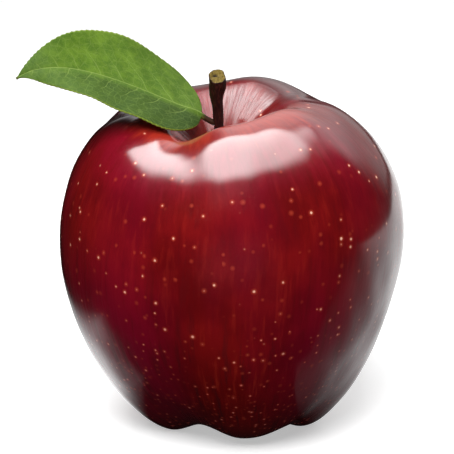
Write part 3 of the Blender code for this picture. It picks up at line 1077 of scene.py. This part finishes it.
@dataclass
class Leaf:
    """The leaf: a blade folded a little at its midrib, with a serrate margin, on a short petiole."""

    length: float = LEAF_LENGTH
    route: tuple[tuple[float, float, float], ...] = (
        (0.0, 0.0, 0.0),
        (-0.361, 0.0, 0.147),
        (-0.693, -0.171, 0.388),
        (-0.904, -0.213, 0.252),
    )
    root_below_crest: float = 0.0041
    droop: float = 0.0012
    droop_run: float = 0.0045
    root_reach: float = 0.0006
    root_run: float = 0.0012
    back_half_width: float = 0.0137
    front_half_width: float = 0.0134
    back_tilt: tuple[float, float, float] = (13.0, 47.6, 5.0)
    front_tilt: tuple[float, float, float] = (16.3, -34.0, 59.9)
    broadest: float = 0.55
    roundness: float = 0.79
    tip_taper: tuple[float, float] = (4.7, 0.45)
    thickness: float = 0.0004
    lift_run: float = 0.0063
    petiole_length: float = 0.0021
    petiole_radius: float = 0.00065
    midrib_tip_radius: float = 0.00025
    teeth: int = 42
    tooth_depth: float = 0.00022
    stations: int = 420
    strips: int = 56
    crowding: float = 1.25
    blade_start: Range = (0.06, 0.16)
    thin_edge: float = 0.35
    sunk_rib: float = 0.85
    waves: Ripple = Ripple(0.011, 0.00022, 51)
    quilt_height: float = 0.00007
    quilt_start: Range = (0.0004, 0.002)
    finish: LeafGreen = LeafGreen()

    def half_width(self, share: Array, broadest: float) -> Array:
        """Half the leaf's width: the petiole's radius, then the blade's rounded outline down to a fine tip.

        The outline is the sine of a power of the way along, to the power of the roundness, times a taper.
        Teeth are a saw wave that leans towards the tip, and they fade out on the petiole and at the tip.

        Args:
            share: the way along the leaf from 0 to 1.
            broadest: half the blade's greatest width.

        Returns:
            The half width at each place.
        """
        petiole = self.petiole_length / self.length
        along = np.clip((share - petiole) / (1.0 - petiole), 0.0, 1.0)
        belly = np.maximum(np.sin(math.pi * along**self.broadest), 0.0) ** self.roundness
        taper = (1.0 - along ** self.tip_taper[0]) ** self.tip_taper[1]
        stem = self.petiole_radius + (self.midrib_tip_radius - self.petiole_radius) * share
        phase = (share * self.teeth + 0.12 * np.sin(share * 37.0 + broadest * 900.0)) % 1.0
        saw = np.where(phase < 0.78, phase / 0.78, (1.0 - phase) / 0.22) - 0.5
        saw = saw * step(along, 0.06, 0.2) * (1.0 - step(along, 0.9, 0.97))
        return np.maximum(broadest * belly * taper + saw * self.tooth_depth, stem)

    def tilt(self, share: Array, across: Array) -> Array:
        """Angle at which each half rises from level: a square law of the way along, their mean at the rib."""
        back, front = (
            np.radians(a + b * share + c * share**2) for a, b, c in (self.back_tilt, self.front_tilt)
        )
        side = step(across, -0.06, 0.06)
        return front + (back - front) * side

    def build(self) -> bpy.types.Object:
        """Builds the leaf: sections across the midrib from the petiole's root to the tip.

        Each section is an upper and a lower line, half a thickness either side of the folded blade, with a
        round rib in the middle. The blade swells between its side veins and waves at its margin.

        Returns:
            The object.
        """
        share = np.linspace(0.0, 1.0, self.stations)
        points = [self.length * np.array(stop) for stop in self.route]
        middle = cubic(*points, share[:, None])
        ahead = unit(np.gradient(middle, axis=0))
        back = unit(np.array((0.0, 1.0, 0.0)) - ahead * ahead[:, 1:2])
        over = np.cross(ahead, back)
        over = over * np.sign(over[:, 2:3])
        across = np.linspace(-1.0, 1.0, self.strips + 1)
        across = np.sign(across) * np.abs(across) ** self.crowding
        grid_share, grid_across = np.meshgrid(share, across, indexing="ij")
        broad = np.where(
            grid_across > 0.0,
            self.half_width(share, self.back_half_width)[:, None],
            self.half_width(share, self.front_half_width)[:, None],
        )
        reach = grid_across * broad
        tilt = self.tilt(grid_share, grid_across)
        rib = (self.petiole_radius + (self.midrib_tip_radius - self.petiole_radius) * share)[:, None]
        thin = self.thickness / 2.0 * (1.0 - self.thin_edge * np.abs(grid_across) ** 6)
        round_rib = np.exp(-((reach / self.petiole_radius) ** 2))
        leafy = step(grid_share, *self.blade_start)
        upper_half = thin + (rib - thin) * round_rib * (1.0 - self.sunk_rib * leafy)
        lower_half = thin + (rib - thin) * round_rib
        back, over, middle = back[:, None], over[:, None], middle[:, None]
        out = np.cos(tilt)[..., None] * back + np.sin(tilt)[..., None] * over
        normal = np.cos(tilt)[..., None] * over - np.sin(tilt)[..., None] * back
        sheet = middle + reach[..., None] * out
        flat_place = np.stack([grid_share * self.length, reach * 0.4, 0.0 * reach], -1)
        wave = self.waves.at(flat_place) * np.abs(grid_across) ** 2 * leafy
        gap = self.length / LeafGreen.pairs
        swept = grid_share * self.length - np.abs(reach) * LeafGreen.angle
        quilt = -np.cos(2.0 * math.pi * swept / gap) * self.quilt_height
        quilt = quilt * leafy * (1.0 - np.abs(grid_across) ** 3) * step(np.abs(reach), *self.quilt_start)
        sheet = sheet + (wave + quilt)[..., None] * normal
        upper = sheet + upper_half[..., None] * normal
        lower = sheet - lower_half[..., None] * normal

        rings = np.concatenate([upper[:, ::-1], lower], 1)
        _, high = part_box("leaf")
        lift = np.clip(share * self.length / self.lift_run, 0.0, 1.0)[:, None]
        rings = rings + np.array((high.x - rings[..., 0].max(), 0.0, 0.0))
        rings[..., 2] += Stalk.crest_height - self.root_below_crest
        missing = high.z - rings[..., 2].max()
        rings[..., 2] += lift * missing
        run = (share * self.length)[:, None]
        rings[..., 2] -= self.droop * np.clip(1.0 - run / self.droop_run, 0.0, 1.0) ** 2
        rings[..., 0] += self.root_reach * np.clip(1.0 - run / self.root_run, 0.0, 1.0)
        along = np.broadcast_to(grid_share * self.length * MILLIMETRES, reach.shape)
        flat = np.stack([along, reach * MILLIMETRES, np.ones_like(reach)], -1)
        below = flat * np.array((1.0, 1.0, 0.0))
        blade = np.concatenate([flat[:, ::-1], below], 1)
        margin = np.abs(grid_across)
        edge = np.concatenate([margin[:, ::-1], margin], 1)
        first, last = rings[0].mean(0), rings[-1].mean(0)
        marks = {
            "blade": with_ends(blade, (0.0, 0.0, 1.0), (self.length * MILLIMETRES, 0.0, 1.0)),
            "edge": with_ends(edge[..., None], (0.0,), (0.0,))[:, 0],
        }
        return Surface("leaf_blade", rings, first, last, marks).build()

    def dress(self, leaf: bpy.types.Object) -> None:
        """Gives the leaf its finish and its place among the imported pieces."""
        leaf.data.materials.append(self.finish.material())
        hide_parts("leaf")
        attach(leaf, "root")


# ---------------------------------------------------------------- calyx


@dataclass(frozen=True)
class DriedCalyx:
    """The calyx's finish: dry brown tissue with paler streaks along it."""

    dark: Colour = (0.045, 0.026, 0.014)
    light: Colour = (0.20, 0.13, 0.065)
    roughness: float = 0.86

    def material(self) -> bpy.types.Material:
        """Builds the finish.

        Returns:
            The material.
        """
        recipe = Recipe("dried_calyx")
        drawn = recipe.noise(recipe.place((1.0, 1.0, 0.35)), 2.4, 4.0, 0.65)
        colour = recipe.blend(recipe.rise(drawn, 0.35, 0.70), self.dark, self.light)
        return recipe.finish(
            Base_Color=colour,
            Roughness=self.roughness + (drawn - 0.5) * 0.1,
            Normal=recipe.relief(drawn, 0.0002),
        )


@dataclass
class Calyx:
    """Five dried sepals round a tuft of styles, all hanging from the floor of the hollow."""

    count: int = 5
    eye_shift: float = Fruit.eye_shift
    ring_radius: float = 0.0030
    waist_radius: float = 0.0020
    tip_radius: float = 0.0028
    base_width: float = 0.0024
    tip_width: float = 0.0005
    sepal_length: float = 0.0048
    thickness: float = 0.0004
    stations: int = 60
    columns: int = 32
    styles: int = 5
    tuft_radius: float = 0.0008
    curl: float = 0.12
    taper: float = 0.7
    crinkle_length: float = 0.0016
    crinkle_height: float = 0.00009
    first_seed: int = 70
    finish: DriedCalyx = DriedCalyx()

    def sepal(self, number: int, offset: Vector) -> bpy.types.Object:
        """Builds one sepal: a tapering strip, cupped, pinched in at its waist and turned out at its tip.

        The middle line is a square curve from the ring through the waist to the tip, and each section a flat
        oval whose edges curl towards the axis.

        Args:
            number: which sepal, from 0.
            offset: how far the fruit's axis is from the origin.

        Returns:
            The object.
        """
        azimuth = 2.0 * math.pi * number / self.count
        out = np.array((math.sin(azimuth), -math.cos(azimuth), 0.0))
        side = np.array((math.cos(azimuth), math.sin(azimuth), 0.0))
        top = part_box(f"sepal_{number + 1}")[1].z
        share = np.linspace(0.0, 1.0, self.stations)[:, None]
        pull = 2.0 * self.waist_radius - 0.5 * (self.ring_radius + self.tip_radius)
        ends = (1 - share) ** 2 * self.ring_radius + share**2 * self.tip_radius
        radius = ends + 2 * share * (1 - share) * pull
        width = self.base_width + (self.tip_width - self.base_width) * share**self.taper
        angle = np.linspace(0.0, 2.0 * math.pi, self.columns, endpoint=False)[None]
        across = np.cos(angle) * width / 2.0
        through = np.sin(angle) * self.thickness / 2.0 - self.curl * np.cos(angle) ** 2 * width
        centre = np.array((self.eye_shift, 0.0, top)) + np.array(offset)
        rings = centre + out * (radius + through)[..., None] + side * across[..., None]
        rings = rings + np.array((0.0, 0.0, -self.sepal_length)) * share[..., None]
        crinkle = Ripple(self.crinkle_length, self.crinkle_height, self.first_seed + number)
        rings = rings + out * crinkle.at(rings)[..., None]
        name = f"dried_sepal_{number + 1}"
        return Surface(name, rings[:, ::-1], rings[0].mean(0), rings[-1].mean(0)).build()

    def tuft(self, offset: Vector) -> bpy.types.Object:
        """Builds the tuft: a slim bundle that shows the ridges of its dried styles, which part at the tip.

        Its section is a circle with one ridge for each style, and the ridges deepen on the way down.

        Args:
            offset: how far the fruit's axis is from the origin.

        Returns:
            The object.
        """
        low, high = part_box("style_tuft")
        share = np.linspace(0.0, 1.0, self.stations)[:, None]
        angle = np.linspace(0.0, 2.0 * math.pi, self.columns * 2, endpoint=False)[None]
        ridge = np.cos(angle * self.styles + 2.0 * share)
        radius = self.tuft_radius * (1.0 - 0.35 * share) * (1.0 + (0.10 + 0.3 * share**2) * ridge)
        height = high.z + (low.z - high.z) * share * (1.0 - 0.12 * share * (1.0 - ridge))
        centre = np.array((self.eye_shift, 0.0, 0.0)) + np.array(offset)
        ring = np.stack([np.cos(angle) * radius, np.sin(angle) * radius, height + 0.0 * angle], -1)
        rings = ring + centre
        last = rings[-1].mean(0) + np.array((0.0, 0.0, 0.0006))
        return Surface("dried_styles", rings, rings[0].mean(0), last).build()

    def dress(self, piece: bpy.types.Object, node: str, material: bpy.types.Material) -> None:
        """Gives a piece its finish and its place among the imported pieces.

        Args:
            piece: the object.
            node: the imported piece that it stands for.
            material: the finish.
        """
        piece.data.materials.append(material)
        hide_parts(node)
        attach(piece, "root")


# ---------------------------------------------------------------- studio


class Light(Enum):
    """The lamps by what they do."""

    KEY = "key"
    FRONT_FILL = "front_fill"


@dataclass(frozen=True)
class Lamp:
    """A soft box that lights the fruit without a shine, at a place counted from the fruit's middle.

    The power is what gives each square metre of it the wanted brightness: pi times brightness times area. Its
    width runs level.
    """

    role: Light
    place: tuple[float, float, float]
    width: float
    height: float
    brightness: float

    def build(self, aim: Vector) -> None:
        """Adds the lamp, facing the fruit and never seen by the camera.

        Args:
            aim: the fruit's middle.
        """
        light = bpy.data.lights.new(self.role.value, "AREA")
        light.shape = "RECTANGLE"
        light.size, light.size_y = self.width, self.height
        light.energy = math.pi * self.brightness * self.width * self.height
        thing = bpy.data.objects.new(self.role.value, light)
        way = Vector(self.place).normalized()
        level = Vector((1.0, 0.0, 0.0))
        across = (level - way * level.dot(way)).normalized()
        turned = Matrix((across, way.cross(across), way)).transposed().to_4x4()
        thing.matrix_world = Matrix.Translation(aim + Vector(self.place)) @ turned
        thing.visible_camera = False
        thing.visible_glossy = False
        bpy.context.scene.collection.objects.link(thing)


@dataclass
class Studio:
    """Floor, room, lamps and camera."""

    bank_heart: float = 0.66
    card_heart: float = 0.62
    floor_half: float = 0.5
    floor_drop: float = 0.0001
    floor_fade: Range = (450.0, 220.0)
    floor_grey: float = 0.80
    floor_glow: float = 0.45
    backdrop: float = 1.0
    gloom: float = 0.004
    wall: float = 0.5
    high_wall: float = 1.2
    wall_top: Range = (0.20, 0.60)
    wall_left: Range = (-0.32, -0.12)
    wall_back: Range = (0.60, 0.85)
    wall_slope: float = 0.6
    right_card: tuple[tuple[float, float], ...] = (
        (0.016, -0.008),
        (0.030, -0.034),
        (0.30, -0.060),
        (0.35, 0.10),
        (0.44, 0.40),
        (0.45, 0.65),
        (0.10, 0.65),
        (0.05, 0.30),
        (0.016, 0.15),
    )
    left_card: tuple[tuple[float, float], ...] = (
        (-0.080, -0.016),
        (-0.030, -0.018),
        (-0.010, 0.004),
        (-0.008, 0.110),
        (-0.055, 0.110),
        (-0.074, 0.055),
    )
    card_glow: float = 1.2
    card_near_glow: float = 2.5
    card_near: Range = (75.0, 32.0)
    card_left: Range = (0.0, -10.0)
    card_left_far: Range = (40.0, 90.0)
    card_left_dim: float = 0.56
    card_left_far_dim: float = 0.4
    camera_elevation: float = 18.26
    camera_distance: float = 0.7
    camera_lens: float = 247.0
    look_height: float = 0.0376
    look_above: float = 0.00787
    look_left: float = 0.00107
    bank: tuple[tuple[float, float], ...] = (
        (-0.84, -0.12),
        (-0.74, -0.42),
        (-0.42, -0.64),
        (0.20, -0.68),
        (0.54, -0.42),
        (0.80, -0.06),
        (0.86, 0.34),
        (0.60, 0.66),
        (0.24, 0.76),
        (-0.10, 0.80),
        (-0.60, 0.76),
        (-0.84, 0.40),
    )
    bank_height: float = 1.0
    bank_glow: float = 13.0
    bank_dim: float = 0.72
    bank_fade: Range = (350.0, 0.0)
    lamps: tuple[Lamp, ...] = (
        Lamp(Light.KEY, (-0.15, -0.60, 0.95), 0.80, 0.80, 12.0),
        Lamp(Light.FRONT_FILL, (0.0, -1.10, -0.15), 0.90, 0.60, 2.2),
    )

    @staticmethod
    def sheet(
        name: str,
        outline: Sequence[tuple[float, float]],
        height: float,
        material: bpy.types.Material,
        heart: float = 0.5,
    ) -> bpy.types.Object:
        """Lays a flat sheet, with a border across which its mark "share" falls from 1 to 0.

        Args:
            name: what it is called.
            outline: its corners, counter-clockwise from above.
            height: how high it lies.
            material: its finish.
            heart: size of the part inside the border, as a share of the whole.

        Returns:
            The object.
        """
        outer = np.array(outline)
        inner = outer.mean(0) + (outer - outer.mean(0)) * heart
        count = len(outer)
        level = np.full((2 * count, 1), height)
        points = np.concatenate([np.concatenate([inner, outer]), level], 1)
        border = [(i, i + count, (i + 1) % count + count, (i + 1) % count) for i in range(count)]
        mesh = bpy.data.meshes.new(name)
        mesh.from_pydata(points.tolist(), [], [tuple(range(count)), *border])
        share = mesh.attributes.new("share", "FLOAT", "POINT")
        share.data.foreach_set("value", [1.0] * count + [0.0] * count)
        mesh.materials.append(material)
        thing = bpy.data.objects.new(name, mesh)
        bpy.context.scene.collection.objects.link(thing)
        return thing

    def floor(self, offset: Vector) -> None:
        """Lays the pale floor just under the fruit, and the cards that shine in the fruit's lower sides.

        The floor fades into the room. The fruit shows the two cards and nothing else of the floor, as on a
        dark table with bright cards. They are brightest close to the fruit, and the left one is dimmer.

        Args:
            offset: how far the fruit's axis is from the origin.
        """
        grey = (self.floor_grey,) * 3
        recipe = Recipe("pale_floor")
        away = recipe.node("ShaderNodeVectorMath", {"operation": "LENGTH"}, {0: recipe.place()}, "Value")
        pale = recipe.finish(
            Base_Color=grey,
            Roughness=0.9,
            Specular_IOR_Level=0.0,
            Emission_Color=WHITE,
            Emission_Strength=self.floor_glow,
            Alpha=recipe.rise(away, *self.floor_fade),
        )
        half = self.floor_half
        square = [(-half, -half), (half, -half), (half, half), (-half, half)]
        floor = self.sheet("floor", square, -self.floor_drop, pale)
        floor.visible_glossy = False
        floor.visible_diffuse = False
        floor.visible_shadow = False
        for name, card in (("right_card", self.right_card), ("left_card", self.left_card)):
            recipe = Recipe(name)
            place = recipe.place()
            across, back, _ = recipe.parts(place)
            away = recipe.node("ShaderNodeVectorMath", {"operation": "LENGTH"}, {0: place}, "Value")
            glow = self.card_glow + recipe.rise(away, *self.card_near) * self.card_near_glow
            left = recipe.rise(across, *self.card_left)
            far = recipe.rise(back, *self.card_left_far)
            glow = glow * (1.0 - left * self.card_left_dim - far * left * self.card_left_far_dim)
            glow = glow * recipe.rise(recipe.attribute("share"), 0.0, 1.0)
            white = recipe.join(glow, glow, glow)
            lit = recipe.finish(Base_Color=BLACK, Emission_Color=white, Emission_Strength=1.0)
            outline = [(x + offset.x, y + offset.y) for x, y in card]
            self.only_in_gloss(self.sheet(name, outline, -self.floor_drop / 2.0, lit, self.card_heart))

    def overhead(self, offset: Vector) -> None:
        """Hangs the bank overhead that shines on the wax and nothing else, brightest on its left.

        Args:
            offset: how far the fruit's axis is from the origin.
        """
        recipe = Recipe("bank")
        across, _, _ = recipe.parts(recipe.place())
        glow = self.bank_dim + recipe.rise(across, *self.bank_fade) * (1.0 - self.bank_dim)
        glow = glow * recipe.rise(recipe.attribute("share"), 0.0, 1.0)
        white = recipe.join(glow, glow, glow)
        lit = recipe.finish(Base_Color=BLACK, Emission_Color=white, Emission_Strength=self.bank_glow)
        outline = [(x + offset.x, y + offset.y) for x, y in self.bank]
        height = self.look_height + self.bank_height
        self.only_in_gloss(self.sheet("bank", outline, height, lit, self.bank_heart))

    @staticmethod
    def only_in_gloss(sheet: bpy.types.Object) -> None:
        """Hides a sheet from everything but the shine on glossy surfaces."""
        sheet.visible_camera = False
        sheet.visible_diffuse = False
        sheet.visible_shadow = False

    def surroundings(self) -> None:
        """Paints the room: white to the camera, and for the fruit dark but for a pale wall behind it.

        The wall is brighter higher up, and it ends at the left.
        """
        world = bpy.data.worlds.new("room")
        bpy.context.scene.world = world
        world.use_nodes = True
        graph = Graph(world.node_tree)
        side, back, up = graph.parts(graph.node("ShaderNodeTexCoord", output="Generated"))
        wall = self.wall + graph.rise(up, *self.wall_top) * self.high_wall
        wall = wall * graph.rise(side, *self.wall_left)
        wall = wall * graph.rise(back + up * self.wall_slope, *self.wall_back)
        seen = self.gloom + graph.rise(up, -0.02, 0.02) * wall
        camera = graph.node("ShaderNodeLightPath", output="Is Camera Ray")
        background = world.node_tree.nodes["Background"]
        graph.feed(background.inputs["Strength"], seen + camera * (self.backdrop - seen))
        graph.feed(background.inputs["Color"], WHITE)

    def camera(self, offset: Vector) -> None:
        """Sets up the camera in front, looking a little above and to the left of the fruit's middle.

        Args:
            offset: how far the fruit's axis is from the origin.
        """
        elevation = math.radians(self.camera_elevation)
        look = Vector((offset.x, offset.y, self.look_height))
        back = Vector((0.0, -math.cos(elevation), math.sin(elevation)))
        above = Vector((0.0, math.sin(elevation), math.cos(elevation)))
        data = bpy.data.cameras.new("camera")
        data.lens = self.camera_lens
        data.clip_start, data.clip_end = 0.01, 50.0
        thing = bpy.data.objects.new("camera", data)
        thing.location = look + back * self.camera_distance
        aim = look + above * self.look_above - Vector((self.look_left, 0.0, 0.0))
        thing.rotation_euler = (thing.location - aim).to_track_quat("Z", "Y").to_euler()
        bpy.context.scene.collection.objects.link(thing)
        bpy.context.scene.camera = thing

    def build(self, offset: Vector) -> None:
        """Sets up the whole studio round the fruit.

        Args:
            offset: how far the fruit's axis is from the origin.
        """
        self.floor(offset)
        self.overhead(offset)
        self.surroundings()
        for lamp in self.lamps:
            lamp.build(Vector((offset.x, offset.y, self.look_height)))
        self.camera(offset)
        bpy.context.scene.view_settings.view_transform = "Standard"


# ---------------------------------------------------------------- assembly


def report(piece: bpy.types.Object) -> None:
    """Logs a piece's name and how many faces it has."""
    LOG.info("%s: %d faces", piece.name, len(piece.data.polygons))


def main() -> None:
    """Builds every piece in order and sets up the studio."""
    logging.basicConfig(level=logging.INFO, format="%(name)s %(message)s")
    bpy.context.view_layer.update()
    fruit = Fruit()
    skin, offset = fruit.build()
    fruit.dress(skin)
    report(skin)
    stalk = Stalk()
    wood = stalk.build(offset)
    stalk.dress(wood)
    report(wood)
    leaf = Leaf()
    blade = leaf.build()
    leaf.dress(blade)
    report(blade)
    calyx = Calyx()
    dried = calyx.finish.material()
    for number in range(calyx.count):
        sepal = calyx.sepal(number, offset)
        calyx.dress(sepal, f"sepal_{number + 1}", dried)
        report(sepal)
    tuft = calyx.tuft(offset)
    calyx.dress(tuft, "style_tuft", dried)
    report(tuft)
    Studio().build(offset)


if __name__ == "__main__":
    main()
